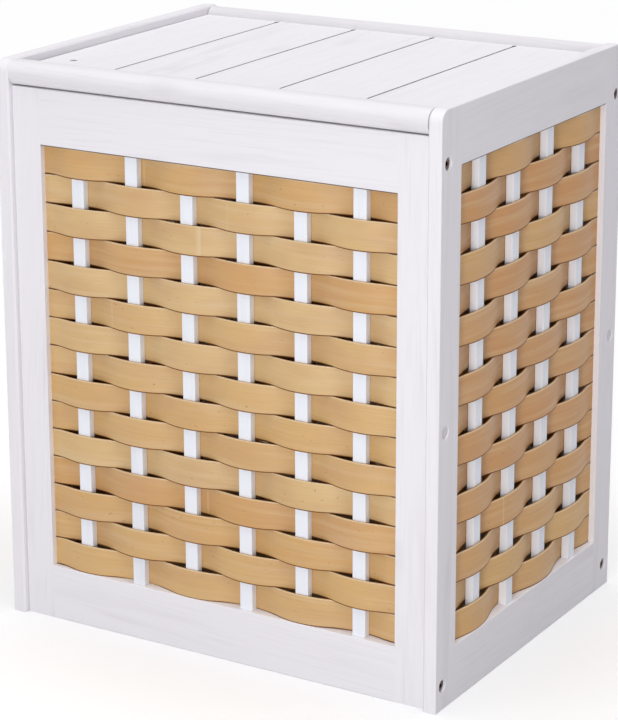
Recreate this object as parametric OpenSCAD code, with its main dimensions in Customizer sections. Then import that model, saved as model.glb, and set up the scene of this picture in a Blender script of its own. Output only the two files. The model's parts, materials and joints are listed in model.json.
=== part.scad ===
// Lidded storage trunk: four painted timber frames bolted together at the corners, each holding a
// panel of flat bamboo strips woven round painted laths, with a planked lid that turns on two pins.
// Origin at the middle of the footprint, on the floor. +X is to the right, +Y to the back, +Z up.

/* [Overall size] */
// Width over the two side panels
trunk_w = 452; // [430:1:520]
// Depth of the side panels, front to back
trunk_d = 352; // [335:1:420]
// Height of the side panels
trunk_h = 530; // [480:1:620]

/* [Side panels] */
// Thickness of the side panels' boards
side_t = 13; // [12:0.5:18]
// Width of the side panels' upright stiles
side_stile_w = 35; // [32:0.5:42]
// Width of the side panels' top and bottom rails
side_rail_w = 52; // [46:1:60]
// Radius of the side panels' top corners
corner_r = 11; // [4:0.5:16]

/* [Front and back panels] */
// Thickness of the front and back panels' boards
panel_t = 14; // [13:0.5:18]
// Width of the front and back panels' upright stiles
panel_stile_w = 30.5; // [30:0.5:38]
// Width of the front and back panels' top and bottom rails
panel_rail_w = 52; // [46:1:60]
// How far the front and back panels stand in from the side panels' edges
panel_setback = 5; // [3:0.5:8]

/* [Frame joints] */
// Length of the stub tenons on the rails
tenon_l = 10; // [6:0.5:11]
// Thickness of the stub tenons
tenon_t = 5; // [3:0.5:7]
// Shoulder above and below each tenon
tenon_shoulder = 8; // [5:0.5:14]
// Room for glue round tenons, lath ends and tongues
glue_gap = 0.1; // [0.05:0.05:0.3]

/* [Weave] */
// Width of an upright lath
lath_w = 13; // [10:0.5:16]
// Thickness of an upright lath
lath_t = 7.5; // [6:0.25:8]
// Radius of the laths' eased edges
lath_edge_r = 1.4; // [0.5:0.1:2.5]
// Length of lath held in each rail
lath_seat = 10; // [6:0.5:16]
// Laths in the front and back panels
panel_laths = 6; // [4:1:7]
// Spacing of the laths in the front and back panels
panel_lath_pitch = 58; // [48:0.5:62]
// Laths in the side panels
side_laths = 4; // [3:1:5]
// Spacing of the laths in the side panels
side_lath_pitch = 65; // [50:0.5:70]
// Rows of bamboo strip in the front and back panels
panel_rows = 15; // [11:1:18]
// Rows of bamboo strip in the side panels
side_rows = 16; // [11:1:19]
// Thickness of a bamboo strip
strip_t = 1.8; // [1:0.1:2]
// Gap between one strip and the next
strip_gap = 0.8; // [0.4:0.1:2]
// Room between a lath and the crest of a strip that passes over it
strip_clear = 0.55; // [0.45:0.05:0.8]
// Length of strip held in the groove of each stile
strip_seat = 8; // [5:0.5:9]
// Room on each side of a strip in its groove
groove_clear = 0.15; // [0.05:0.05:0.4]

/* [Lid] */
// Height of the lid's front rail and back bar
lid_t = 22; // [18:0.5:26]
// Thickness of the lid's planks
plank_t = 14.7; // [12:0.1:16]
// How far the lid's top lies below the side panels' top
lid_drop = 0.7; // [0:0.1:3]
// Gap between the lid and the front and back panels below it
lid_gap = 0.6; // [0.4:0.1:1.5]
// Gap between each end of the lid and the side panel
lid_end_gap = 1; // [0.5:0.1:2]
// Width of the lid's front rail
front_rail_w = 24; // [20:0.5:34]
// Radius of the front rail's inner top edge
front_rail_inner_r = 8; // [2:0.5:10]
// Spacing of the grooves between planks
plank_pitch = 86; // [80:0.5:90]
// Depth of the bevel along each plank's top edges
plank_bevel = 1; // [0.5:0.1:2.5]
// Length of the tongues on the planks
tongue_l = 5; // [3:0.5:7]
// Thickness of the tongues on the planks
tongue_t = 4; // [3:0.5:5]
// Distance of a plank's end tongues from its long edges
tongue_inset = 6; // [3:0.5:20]
// Distance of the lid's pivot from the side panels' back edges
pivot_inset = 14.4; // [13.5:0.1:18]
// Diameter of the pivot pins
pin_d = 6; // [4:0.5:7]
// Length of pin that runs in a side panel
pin_in_side = 9; // [6:0.5:10]
// Length of pin that is driven into the lid
pin_in_lid = 18; // [12:1:30]
// Radial running clearance of the pins in the side panels
pin_clear = 0.05; // [0.02:0.01:0.1]
// Opening angle at which the lid's heel lands on the back panel
stop_angle = 100; // [96:1:102]
// How far the lid's heel stands out beyond the round of the back bar
heel_out = 2.2; // [1.8:0.1:2.4]

/* [Base] */
// Thickness of the base board
base_t = 5; // [3:0.5:9]
// Height of the underside of the base board above the floor
base_rise = 40; // [40:1:44]
// Width and height of the cleats under the base board
cleat = 12; // [8:0.5:12]
// Gap between the base board and the panels round it
base_gap = 1; // [0.5:0.1:3]

/* [Fasteners] */
// Diameter of the corner bolts
bolt_d = 6; // [4:0.5:6]
// Room round a bolt's shank
bolt_clear = 0.3; // [0.1:0.1:0.5]
// Diameter of a bolt's head
head_d = 10.4; // [9:0.2:11]
// Height of a bolt's head
head_h = 3; // [2:0.1:3.2]
// Width across the flats of a bolt's socket
socket_w = 4; // [3:0.5:5]
// Depth of a bolt's socket
socket_deep = 2; // [1:0.1:2]
// Diameter of the sunk hole that a bolt's head sits in
sink_d = 11.5; // [11.2:0.1:13]
// Depth of the sunk hole that a bolt's head sits in
sink_deep = 5; // [5:0.1:6]
// Diameter of the cross nuts
nut_d = 10; // [8.5:0.5:10]
// Length of the cross nuts
nut_l = 10; // [8:0.5:12]
// Distance of a cross nut's middle from the edge of its stile
nut_inset = 13; // [11:0.5:13]
// Length of bolt that comes out of a cross nut
bolt_end = 0.5; // [0.2:0.1:1]
// Height of the lowest bolts above the floor
bolt_low = 22.5; // [18:0.5:22.5]
// Height of the middle bolts above the floor
bolt_mid = 253; // [200:1:300]
// Distance of the highest bolts below the side panels' top
bolt_drop = 46; // [38:0.5:52]
// Thickness of the caps over the middle bolts
cap_t = 1.2; // [0.8:0.1:1.4]
// How far the caps lie below the face of the side panel
cap_sunk = 0.4; // [0.1:0.1:0.6]
// Room round a cap in its hole
cap_clear = 0.1; // [0.05:0.05:0.2]

/* [Hidden] */
$fn = 96;
// Cuts run this far past a face so that they open it cleanly
over = 1;
// Heights of the lid and of the panels below it
lid_top = trunk_h - lid_drop;
lid_bottom = lid_top - lid_t;
panel_h = lid_bottom - lid_gap;
// Width between the side panels, and how far out the front and back panels' faces stand
panel_w = trunk_w - 2 * side_t;
panel_out = trunk_d / 2 - panel_setback;
inner_y = panel_out - panel_t;
// The lid turns about the middle of its round back bar
bar_r = lid_t / 2;
pivot_y = trunk_d / 2 - pivot_inset;
pivot_z = lid_top - bar_r;
lid_w = panel_w - 2 * lid_end_gap;
front_inner_y = -trunk_d / 2 + front_rail_w;
bar_front_y = pivot_y - bar_r;
// The heel's corner meets the back panel's top when the lid stands at the stop angle
heel_r = bar_r + heel_out;
heel_a = stop_angle - asin((bar_r + lid_gap) / heel_r);
// Bolts lie in the middle of the front and back panels' thickness
bolt_off = panel_setback + panel_t / 2;
bolt_heights = [bolt_low, bolt_mid, trunk_h - bolt_drop];
bolt_grip = side_t - sink_deep;
bolt_reach = nut_inset + nut_d / 2 + bolt_end;
// A strip's middle swings this far to each side of the panel's middle
swing = lath_t / 2 + strip_t / 2 + strip_clear;
// Straight steps that a strip's section takes from lath to lath, and from the last lath to the stile
wave_steps = 6;
ease_steps = 5;
// Half the length over which a strip's slope is measured
slope_reach = 0.5;
// Planks in the lid
planks = 5;
white = [0.92, 0.915, 0.935];
tan_bamboo = [0.82, 0.66, 0.43];
plain_board = [0.72, 0.61, 0.48];
bronze = [0.26, 0.19, 0.13];
steel = [0.62, 0.62, 0.64];

// Place of lath k of n along its panel
function lath_x(k, n, pitch) = (k - (n - 1) / 2) * pitch;

// A panel is drawn with its outer face on y = 0 and its inner side towards +y
module on_front() { translate([0, -panel_out, 0]) children(); }
module on_back() { rotate([0, 0, 180]) on_front() children(); }
module on_right() { rotate([0, 0, 90]) translate([0, -trunk_w / 2, 0]) children(); }
module on_left() { rotate([0, 0, -90]) translate([0, -trunk_w / 2, 0]) children(); }
module other_side() { mirror([1, 0, 0]) children(); }

// A hole along +y that starts at the point given
module hole_y(x, y, z, d, l) { translate([x, y, z]) rotate([-90, 0, 0]) cylinder(d = d, h = l); }

// A board standing upright, its outer top corner rounded by r
module upright_board(w, h, t, r) {
    translate([0, t, 0]) rotate([90, 0, 0]) linear_extrude(height = t) {
        square([w, h - r]);
        translate([r, 0]) square([w - r, h]);
        translate([r, h - r]) circle(r = r);
    }
}

// The mortise that takes a rail's tenon, where the rail's lower edge is at z
module mortise(stile_w, t, rail_w, z) {
    tall = rail_w - 2 * tenon_shoulder;
    translate([stile_w - tenon_l - glue_gap, t / 2 - tenon_t / 2 - glue_gap, z + tenon_shoulder - glue_gap])
        cube([tenon_l + glue_gap + over, tenon_t + 2 * glue_gap, tall + 2 * glue_gap]);
}

// The cuts that every stile has: two mortises and the groove for the ends of the strips
module stile_cuts(w, h, t, rail_w) {
    groove_deep = strip_seat + groove_clear;
    groove_w = strip_t + 2 * groove_clear;
    mortise(w, t, rail_w, 0);
    mortise(w, t, rail_w, h - rail_w);
    translate([w - groove_deep, t / 2 - groove_w / 2, rail_w])
        cube([groove_deep + over, groove_w, h - 2 * rail_w]);
}

// Left stile of a side panel, with its sunk bolt holes and, at the back, the pivot's bore
module side_stile(pivot) {
    color(white) translate([-trunk_d / 2, 0, 0]) difference() {
        upright_board(side_stile_w, trunk_h, side_t, corner_r);
        stile_cuts(side_stile_w, trunk_h, side_t, side_rail_w);
        for (z = bolt_heights) {
            hole_y(bolt_off, -over, z, sink_d, sink_deep + over);
            hole_y(bolt_off, 0, z, bolt_d + 2 * bolt_clear, side_t + over);
        }
        if (pivot)
            hole_y(pivot_inset, side_t - pin_in_side - pin_clear, pivot_z,
                   pin_d + 2 * pin_clear, pin_in_side + pin_clear + over);
    }
}

// Left stile of the front or back panel, with the bores for the bolts and the cross nuts
module panel_stile() {
    color(white) translate([-panel_w / 2, 0, 0]) difference() {
        cube([panel_stile_w, panel_t, panel_h]);
        stile_cuts(panel_stile_w, panel_h, panel_t, panel_rail_w);
        for (z = bolt_heights) {
            translate([-over, panel_t / 2, z]) rotate([0, 90, 0])
                cylinder(d = bolt_d + 2 * bolt_clear, h = bolt_reach + bolt_clear + over);
            hole_y(nut_inset, panel_t / 2 - nut_l / 2, z, nut_d, panel_t);
        }
    }
}

// A rail with its lower edge at z = 0, tenons at both ends and lath mortises in its top edge
module rail(w, rail_w, t, n, pitch) {
    color(white) difference() {
        union() {
            translate([-w / 2, 0, 0]) cube([w, t, rail_w]);
            translate([-w / 2 - tenon_l, t / 2 - tenon_t / 2, tenon_shoulder])
                cube([w + 2 * tenon_l, tenon_t, rail_w - 2 * tenon_shoulder]);
        }
        for (k = [0 : n - 1])
            translate([lath_x(k, n, pitch) - lath_w / 2 - glue_gap, t / 2 - lath_t / 2 - glue_gap,
                       rail_w - lath_seat - glue_gap])
                cube([lath_w + 2 * glue_gap, lath_t + 2 * glue_gap, lath_seat + glue_gap + over]);
    }
}

module bottom_rail(w, rail_w, t, n, pitch) { rail(w, rail_w, t, n, pitch); }
module top_rail(w, rail_w, t, n, pitch, h) {
    translate([0, 0, h]) mirror([0, 0, 1]) rail(w, rail_w, t, n, pitch);
}

// A lath's section, its four edges eased
module lath_section() {
    r = lath_edge_r;
    square([lath_w - 2 * r, lath_t], center = true);
    square([lath_w, lath_t - 2 * r], center = true);
    for (x = [-1, 1], y = [-1, 1])
        translate([x * (lath_w / 2 - r), y * (lath_t / 2 - r)]) circle(r = r);
}

// All the laths of one panel, each let into the top and bottom rails
module laths(n, pitch, t, rail_w, h) {
    color(white) for (k = [0 : n - 1])
        translate([lath_x(k, n, pitch), t / 2, rail_w - lath_seat])
            linear_extrude(height = h - 2 * rail_w + 2 * lath_seat) lath_section();
}

// Where a strip's middle lies at x: it swings round each lath in turn and eases level into the stiles
function wave(x, n, pitch, half, first) =
    let (last = lath_x(n - 1, n, pitch), beyond = abs(x) - last, end_side = x < 0 ? 1 : pow(-1, n - 1))
    abs(x) >= half ? 0 :
    beyond <= 0 ? -first * swing * cos(180 * (x + last) / pitch) :
    -first * end_side * swing * (1 + cos(180 * beyond / (half - last))) / 2;

// One edge of a strip's section, half a thickness to one side of the wave
function strip_edge(xs, n, pitch, half, first, side) = [
    for (x = xs)
        let (before = wave(x - slope_reach, n, pitch, half, first),
             after = wave(x + slope_reach, n, pitch, half, first),
             slope = abs(x) >= half ? 0 : (after - before) / (2 * slope_reach),
             k = side * strip_t / 2 / sqrt(1 + slope * slope))
        [x - slope * k, wave(x, n, pitch, half, first) + k]
];

// One strip of width w, over the first lath if first is 1 and behind it if first is -1
module strip(n, pitch, half, w, first) {
    last = lath_x(n - 1, n, pitch);
    ease = half - last;
    spans = (n - 1) * wave_steps;
    xs = concat(
        [-half - strip_seat],
        [for (i = [0 : ease_steps - 1]) -half + ease * i / ease_steps],
        [for (i = [0 : spans]) -last + 2 * last * i / spans],
        [for (i = [1 : ease_steps]) last + ease * i / ease_steps],
        [half + strip_seat]);
    back = [for (i = [len(xs) - 1 : -1 : 0]) xs[i]];
    inner = strip_edge(xs, n, pitch, half, first, 1);
    outer = strip_edge(back, n, pitch, half, first, -1);
    linear_extrude(height = w) polygon(concat(inner, outer));
}

// Every second row of a panel, counted from the top: start 0 takes the odd rows and 1 the even rows
module strips(n, pitch, half, t, rail_w, h, rows, start, first) {
    row_pitch = (h - 2 * rail_w) / rows;
    color(tan_bamboo) for (row = [start : 2 : rows - 1])
        translate([0, t / 2, h - rail_w - (row + 1) * row_pitch + strip_gap / 2])
            strip(n, pitch, half, row_pitch - strip_gap, first);
}

// The pieces of a front or back panel
module panel_top_rail() {
    top_rail(panel_w - 2 * panel_stile_w, panel_rail_w, panel_t, panel_laths, panel_lath_pitch, panel_h);
}
module panel_bottom_rail() {
    bottom_rail(panel_w - 2 * panel_stile_w, panel_rail_w, panel_t, panel_laths, panel_lath_pitch);
}
module panel_laths_set() { laths(panel_laths, panel_lath_pitch, panel_t, panel_rail_w, panel_h); }
module panel_strips(start) {
    strips(panel_laths, panel_lath_pitch, panel_w / 2 - panel_stile_w, panel_t, panel_rail_w, panel_h,
           panel_rows, start, start == 0 ? 1 : -1);
}

// The pieces of a side panel
module side_top_rail() {
    top_rail(trunk_d - 2 * side_stile_w, side_rail_w, side_t, side_laths, side_lath_pitch, trunk_h);
}
module side_bottom_rail() {
    bottom_rail(trunk_d - 2 * side_stile_w, side_rail_w, side_t, side_laths, side_lath_pitch);
}
module side_laths_set() { laths(side_laths, side_lath_pitch, side_t, side_rail_w, trunk_h); }
module side_strips(start) {
    strips(side_laths, side_lath_pitch, trunk_d / 2 - side_stile_w, side_t, side_rail_w, trunk_h,
           side_rows, start, start == 0 ? -1 : 1);
}

// The loose base board lies on four cleats glued to the panels
module base_board() {
    color(plain_board) translate([-panel_w / 2 + base_gap, -inner_y + base_gap, base_rise])
        cube([panel_w - 2 * base_gap, 2 * inner_y - 2 * base_gap, base_t]);
}
module front_cleat() {
    color(plain_board) translate([-panel_w / 2, -inner_y, base_rise - cleat])
        cube([panel_w, cleat, cleat]);
}
module right_cleat() {
    color(plain_board) translate([panel_w / 2 - cleat, -inner_y + cleat, base_rise - cleat])
        cube([cleat, 2 * inner_y - 2 * cleat, cleat]);
}

// A shape drawn in y and z, run along x over the lid's width
module along_lid() {
    translate([-lid_w / 2, 0, 0]) rotate([90, 0, 90]) linear_extrude(height = lid_w) children();
}

// The groove in the front rail or back bar that takes the planks' end tongues
module tongue_groove(y) {
    translate([y - tongue_l - glue_gap, lid_bottom + plank_t / 2 - tongue_t / 2 - glue_gap])
        square([2 * (tongue_l + glue_gap), tongue_t + 2 * glue_gap]);
}

// Front rail: a full round at the front, a flat top, and a rounded edge above the planks
module lid_front_rail() {
    r = front_rail_inner_r;
    middle_y = -trunk_d / 2 + bar_r;
    color(white) along_lid() difference() {
        union() {
            translate([middle_y, pivot_z]) circle(r = bar_r);
            translate([middle_y, lid_bottom]) square([front_inner_y - middle_y, lid_t - r]);
            translate([middle_y, lid_bottom]) square([front_inner_y - middle_y - r, lid_t]);
            translate([front_inner_y - r, lid_top - r]) circle(r = r);
        }
        tongue_groove(front_inner_y);
    }
}

// Back bar: round about the pivot, square where the planks meet it, with a heel that stops the lid
module lid_back_bar() {
    color(white) difference() {
        along_lid() difference() {
            union() {
                translate([pivot_y, pivot_z]) circle(r = bar_r);
                translate([bar_front_y, lid_bottom]) square([bar_r, plank_t]);
                translate([pivot_y, pivot_z])
                    polygon([[0, 0], [bar_r, 0], [heel_r * cos(heel_a), heel_r * sin(heel_a)], [0, bar_r]]);
            }
            tongue_groove(bar_front_y);
        }
        for (s = [-1, 1])
            translate([s * lid_w / 2, pivot_y, pivot_z]) rotate([0, -90 * s, 0])
                translate([0, 0, -over]) cylinder(d = pin_d, h = pin_in_lid + over);
    }
}

// Left edge of plank i: the two end planks take the width that those between them leave
function plank_x(i) =
    i == 1 ? -lid_w / 2 :
    i > planks ? lid_w / 2 :
    (i - planks / 2 - 1) * plank_pitch;

// Section of plank i in x and z: bevelled top edges, a tongue on its right and a groove on its left
module plank_section(i) {
    left = plank_x(i);
    right = plank_x(i + 1);
    mid = plank_t / 2;
    cut = plank_bevel + over;
    above = plank_t + over;
    difference() {
        union() {
            translate([left, 0]) square([right - left, plank_t]);
            if (i < planks)
                translate([right - over, mid - tongue_t / 2]) square([tongue_l + over, tongue_t]);
        }
        if (i > 1) {
            translate([left - over, mid - tongue_t / 2 - glue_gap])
                square([tongue_l + glue_gap + over, tongue_t + 2 * glue_gap]);
            polygon([[left - over, plank_t - cut], [left - over, above], [left + cut, above]]);
        }
        if (i < planks)
            polygon([[right + over, plank_t - cut], [right + over, above], [right - cut, above]]);
    }
}

// Plank i, its ends cut back to tongues that enter the front rail and the back bar
module lid_plank(i) {
    tongue_z = plank_t / 2 - tongue_t / 2;
    length = bar_front_y - front_inner_y;
    color(white) translate([0, front_inner_y, lid_bottom]) {
        translate([0, length, 0]) rotate([90, 0, 0]) linear_extrude(height = length) plank_section(i);
        for (y = [-tongue_l, length])
            translate([plank_x(i) + tongue_inset, y, tongue_z])
                cube([plank_x(i + 1) - plank_x(i) - 2 * tongue_inset, tongue_l, tongue_t]);
    }
}

// Steel pin driven into the right end of the back bar, its free end running in the side panel
module right_pivot_pin() {
    color(steel) translate([lid_w / 2 - pin_in_lid, pivot_y, pivot_z]) rotate([0, 90, 0])
        cylinder(d = pin_d, h = pin_in_lid + lid_end_gap + pin_in_side);
}

// Six bolts through the right side panel, their socket heads sunk below its face
module right_bolts() {
    color(bronze) for (s = [-1, 1], z = bolt_heights)
        translate([trunk_w / 2 - sink_deep, s * (trunk_d / 2 - bolt_off), z]) {
            rotate([0, -90, 0]) cylinder(d = bolt_d, h = bolt_grip + bolt_reach);
            rotate([0, 90, 0]) difference() {
                cylinder(d = head_d, h = head_h);
                translate([0, 0, head_h - socket_deep])
                    cylinder(d = socket_w / cos(30), h = socket_deep + over, $fn = 6);
            }
        }
}

// Six cross nuts in the front and back panels' stiles beside the right side panel
module right_cross_nuts() {
    color(steel) for (s = [-1, 1], z = bolt_heights)
        translate([panel_w / 2 - nut_inset, s * (trunk_d / 2 - bolt_off), z]) difference() {
            rotate([90, 0, 0]) cylinder(d = nut_d, h = nut_l, center = true);
            rotate([0, 90, 0]) cylinder(d = bolt_d, h = nut_d + 2 * over, center = true);
        }
}

// White caps over the two middle bolts of the right side panel
module right_bolt_caps() {
    color(white) for (s = [-1, 1])
        translate([trunk_w / 2 - cap_sunk - cap_t, s * (trunk_d / 2 - bolt_off), bolt_mid])
            rotate([0, 90, 0]) cylinder(d = sink_d - 2 * cap_clear, h = cap_t);
}

on_front() panel_stile();  // front_left_stile
on_front() other_side() panel_stile();  // front_right_stile
on_front() panel_top_rail();  // front_top_rail
on_front() panel_bottom_rail();  // front_bottom_rail
on_front() panel_laths_set();  // front_laths
on_front() panel_strips(0);  // front_strips_odd
on_front() panel_strips(1);  // front_strips_even

on_back() other_side() panel_stile();  // back_left_stile
on_back() panel_stile();  // back_right_stile
on_back() panel_top_rail();  // back_top_rail
on_back() panel_bottom_rail();  // back_bottom_rail
on_back() panel_laths_set();  // back_laths
on_back() panel_strips(0);  // back_strips_odd
on_back() panel_strips(1);  // back_strips_even

on_left() other_side() side_stile(false);  // left_front_stile
on_left() side_stile(true);  // left_back_stile
on_left() side_top_rail();  // left_top_rail
on_left() side_bottom_rail();  // left_bottom_rail
on_left() side_laths_set();  // left_laths
on_left() side_strips(0);  // left_strips_odd
on_left() side_strips(1);  // left_strips_even

on_right() side_stile(false);  // right_front_stile
on_right() other_side() side_stile(true);  // right_back_stile
on_right() side_top_rail();  // right_top_rail
on_right() side_bottom_rail();  // right_bottom_rail
on_right() side_laths_set();  // right_laths
on_right() side_strips(0);  // right_strips_odd
on_right() side_strips(1);  // right_strips_even

base_board();
front_cleat();
rotate([0, 0, 180]) front_cleat();  // back_cleat
other_side() right_cleat();  // left_cleat
right_cleat();

lid_front_rail();
lid_plank(1);  // lid_plank_1
lid_plank(2);  // lid_plank_2
lid_plank(3);  // lid_plank_3
lid_plank(4);  // lid_plank_4
lid_plank(5);  // lid_plank_5
lid_back_bar();
other_side() right_pivot_pin();  // left_pivot_pin
right_pivot_pin();

other_side() right_bolts();  // left_bolts
right_bolts();
other_side() right_cross_nuts();  // left_cross_nuts
right_cross_nuts();
other_side() right_bolt_caps();  // left_bolt_caps
right_bolt_caps();
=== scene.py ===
"""Looks of a lidded storage trunk: painted timber frames, woven bamboo panels and a planked lid.

Everything is in metres in the CAD frame: +X to the right, +Y to the back, +Z up, the floor at z = 0.
Each panel is also described in a frame of its own: u along it to the right as seen from outside,
d inwards from its outer face, and z up."""

import json
import math
import random

import bmesh
import bpy
from mathutils import Matrix, Vector

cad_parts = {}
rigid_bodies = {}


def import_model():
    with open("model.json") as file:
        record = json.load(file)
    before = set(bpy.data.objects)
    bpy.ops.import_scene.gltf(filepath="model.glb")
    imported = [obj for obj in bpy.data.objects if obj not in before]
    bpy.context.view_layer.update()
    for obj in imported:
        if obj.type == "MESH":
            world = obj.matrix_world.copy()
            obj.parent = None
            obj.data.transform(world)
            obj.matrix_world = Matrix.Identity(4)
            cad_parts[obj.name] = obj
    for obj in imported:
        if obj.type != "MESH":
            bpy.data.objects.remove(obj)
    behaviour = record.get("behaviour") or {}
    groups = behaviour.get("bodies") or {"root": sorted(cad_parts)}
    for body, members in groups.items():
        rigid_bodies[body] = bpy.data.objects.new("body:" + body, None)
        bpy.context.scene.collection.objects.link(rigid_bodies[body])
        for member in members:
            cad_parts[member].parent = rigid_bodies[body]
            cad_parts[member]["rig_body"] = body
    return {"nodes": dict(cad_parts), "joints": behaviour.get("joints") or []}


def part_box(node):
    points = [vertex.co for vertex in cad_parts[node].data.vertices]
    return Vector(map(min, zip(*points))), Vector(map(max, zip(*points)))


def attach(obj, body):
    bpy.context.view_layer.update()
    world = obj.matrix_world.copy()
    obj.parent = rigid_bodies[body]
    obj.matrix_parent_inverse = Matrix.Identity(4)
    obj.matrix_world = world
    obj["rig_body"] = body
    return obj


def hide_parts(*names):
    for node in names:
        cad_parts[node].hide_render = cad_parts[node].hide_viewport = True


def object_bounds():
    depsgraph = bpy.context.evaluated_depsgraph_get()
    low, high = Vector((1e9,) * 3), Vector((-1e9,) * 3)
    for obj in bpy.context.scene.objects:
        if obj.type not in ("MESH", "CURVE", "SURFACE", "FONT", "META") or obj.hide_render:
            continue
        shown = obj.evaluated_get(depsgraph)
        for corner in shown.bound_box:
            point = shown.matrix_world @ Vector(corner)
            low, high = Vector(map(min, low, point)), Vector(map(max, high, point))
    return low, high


MM = 0.001

# Camera, fitted to the photograph's 618 x 720 frame
CAMERA_PLACE = (1.1945, -2.0046, 0.9676)
CAMERA_AIM = (-0.0682, 0.0, 0.2970)
CAMERA_ROLL = math.radians(-0.5)
CAMERA_LENS_MM = 130.65
CAMERA_SENSOR_MM = 36.0
CAMERA_SHIFT = (0.08, -0.10)
CAMERA_REACH = 100

# Light: a round lamp, a broad distant light from above, an even sky, and a floor that throws some light back
KEY_PLACE = (0.86, -2.45, 0.56)
KEY_AIM = (0.0, -0.17, 0.40)
KEY_POWER = 25.2
KEY_SIZE = 0.66
OVERHEAD_STRENGTH = 2.0
OVERHEAD_SPREAD = math.radians(60)
SKY_LIGHT = (0.345, 0.345, 0.355)
FLOOR_HALF = 30.0
FLOOR_BOUNCE = (0.58, 0.58, 0.595)
BACKGROUND = (1.0, 1.0, 1.0)

# The share of plain white in the floor as the camera sees it. The rest shows the shadow
FLOOR_WHITE = 0.25

# Eased edges
OUTER_EDGE = 1.0 * MM
INNER_EDGE = 1.5 * MM
WINDOW_EDGE = 0.6 * MM
BASE_EDGE = 0.8 * MM
BAR_END_EDGE = 0.6 * MM
CORNER_R = 11 * MM
EDGE_STEPS = 3
ARC_STEPS = 10

# The lower edge of a top rail, and the share of its rounding, from below, that is painted dark as shade
UNDER_RAIL_EDGE = 1.5 * MM
UNDER_RAIL_SHADE_SHARE = 0.6

# The length over which a stile's window edge ends beside a rail, so that the two are flush at their joint
JOIN = 0.8 * MM

# Angles, in degrees, above which an edge is shaded sharp
BOARD_ANGLE = 35
STRIP_ANGLE = 50
BOLT_ANGLE = 30
CAP_ANGLE = 40

# Grain and paint, with painted shade on the lid's round bars, in narrow slots and under the top rails
GRAIN_AWAY = 4
GRAIN_TILT = 0.05
LEAST_TONE = 0.995
# The lid's round bars are painted a little darker, as shade on their bright rounded tops
ROUND_BAR_SHADE = 0.94
PAINT_SHINE = 0.15
# Painted shade: grey for the narrow slots, dark for the underside of the top rails
SLOT_SHADE = (0.30, 0.285, 0.285)
RAIL_UNDERSIDE_SHADE = (0.100, 0.072, 0.055)

# Weave
STRIP_T = 1.8 * MM
STRIP_EDGE = 0.35 * MM
STRIP_CROWN = 0.25 * MM
STRIP_SEAT = 8 * MM
# The width of the band along each edge of a strip that is painted: a highlight along the upper edge, shade
# along the lower one
STRIP_LINE = 1.4 * MM
STRIP_AWAY = (3, 3, 9)
DEPTH_STRETCH = 20
JOINT_COUNTS = (0, 0, 1, 1, 2)
WAVE_FLAT = 0.04
WAVE_STEPS = 12
EASE_STEPS = 8
SLOPE_STEP = 0.5 * MM
LATH_EDGE = 0.7 * MM
LATH_SEAT = 10 * MM
FIT = 0.15 * MM

# How far a strip strays up and down, with the turns per metre and the share of each of its two waves
STRIP_DRIFT = 0.22 * MM
DRIFT_WAVES = ((17, 1.0), (41, 0.6))

# The share of its swing by which a strip widens, so that no light passes through the far panels
SNUG = {"front": 0.12, "right": 0.12, "back": 0.36, "left": 0.45}
SNUG_FROM = 1.1 * MM

# How warm the strips of the panels in view are, from 0 to 1, and which rows are warmer or paler, from the top
PANEL_TONE = {"front": 0.40, "right": 0.95}
WARM_ROWS = {"front": (0, 3, 11, 12), "right": (1, 2, 4, 6, 7, 9)}
PALE_ROWS = {"front": (1, 2, 4, 6, 10), "right": (0, 3, 13, 14, 15)}
ROW_CHANGE = 0.30
TONE_SPREAD = 0.10

# Lid
RAIL_INNER_R = 8 * MM
PLANK_T = 14.7 * MM
SLOT_HALF = 0.85 * MM
SLOT_DEEP = 4 * MM
SLOT_EDGE = 0.35 * MM
UNDER_EDGE = 0.7 * MM
END_SNUG = 0.4 * MM
HEEL_CORNER = (10.33 * MM, 8.22 * MM)
NOTCH_SIZE = (2.1 * MM, 3.0 * MM, 9 * MM)
NOTCH_INSET = 1.2
NICK_PLACE = (-186 * MM, -112 * MM)
NICK_SIZE = (3.6 * MM, 3.0 * MM, 0.6 * MM)
NICK_FLOOR = 0.85
NICK_WALL = 0.95
NICK_PAST = 0.2 * MM
SMALL_STEPS = 16

# Fasteners
HOLE_R = 5.75 * MM
HOLE_DEEP = 5 * MM
HOLE_RIM = 0.35 * MM
SHANK_R = 3 * MM
SHANK_ROOM = 0.3 * MM
BORE_DEEP = 40 * MM
TIP_IN = 0.4 * MM
TIP_LONG = 0.6 * MM
HEAD_R = 5.2 * MM
HEAD_H = 3 * MM
HEAD_ROUND = 0.7 * MM
HEAD_STEPS = 4
SOCKET_R = 2.3 * MM
SOCKET_RIM = 0.3 * MM
SOCKET_DEEP = 2 * MM
SOCKET_SIDES = 6
CAP_ROUND = 0.35 * MM
CAP_STEPS = 5
CAP_RINGS = (0.8, 0.5, 0.2)
NUT_R = 5 * MM
NUT_INSET = 13 * MM
NUT_L = 10 * MM
ROUND_STEPS = 40

# The share of its solid's thickness that a cap has
CAP_SHARE = 0.62

# How far a cutter reaches past the face that it cuts
PAST = 1 * MM

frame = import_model()
cad_low, cad_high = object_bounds()


# Shapes

def arc(centre, radius, start, end, steps=ARC_STEPS):
    """Points (u, v) on an arc from start to end, in degrees."""
    turns = [math.radians(start + (end - start) * i / steps) for i in range(steps + 1)]
    return [(centre[0] + radius * math.cos(t), centre[1] + radius * math.sin(t)) for t in turns]


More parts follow.
